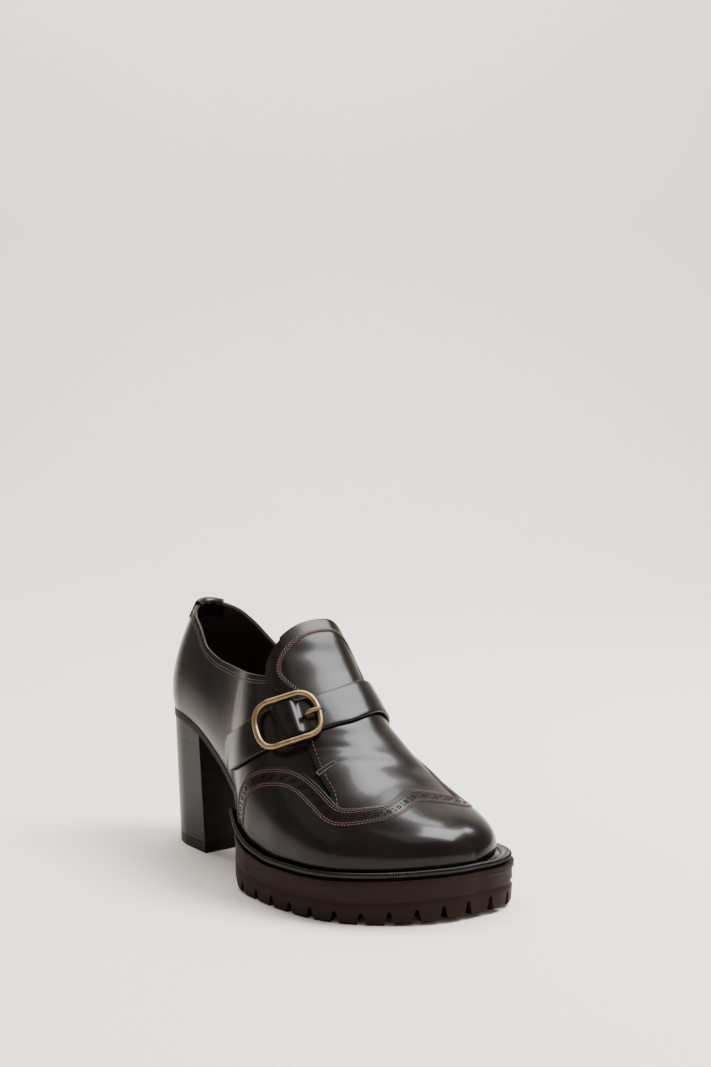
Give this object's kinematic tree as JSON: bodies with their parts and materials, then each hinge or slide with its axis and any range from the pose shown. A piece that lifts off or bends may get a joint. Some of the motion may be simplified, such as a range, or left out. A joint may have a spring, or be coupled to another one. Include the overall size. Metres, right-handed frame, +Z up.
{
  "type": "heeled loafer",
  "caption": "Heeled loafer with a wing-tip cap, a high tongue, a strap with an oval buckle, a beaded welt, a lugged platform sole and a block heel.",
  "frame": {"origin": "centre of the heel's flat ground face", "axes": "+Z up, toe towards -Y, +X to the medial (big toe) side of a right shoe"},
  "size_m": [0.1139, 0.2382, 0.1451],
  "materials": {
    "upper_leather": "near-black brown leather, polished to a high gloss",
    "lining_leather": "dark brown lining leather, matt",
    "welt_leather": "ribbed and glossed welt bead",
    "sole_rubber": "dark brown moulded rubber, satin",
    "tip_rubber": "dark rubber top lift, satin",
    "stacked_heel": "stained stacked heel with fine layer lines",
    "buckle_brass": "antique brass, brushed and softly worn"
  },
  "bodies": {
    "root": {"outsole": "sole_rubber", "welt": "welt_leather", "heel": "stacked_heel", "heel_tip": "tip_rubber", "insole": "lining_leather", "upper": "upper_leather", "vamp": "upper_leather", "wing_cap": "upper_leather", "strap": "upper_leather", "buckle": "buckle_brass", "prong": "buckle_brass", "back_tab": "upper_leather"}
  },
  "joints": []
}
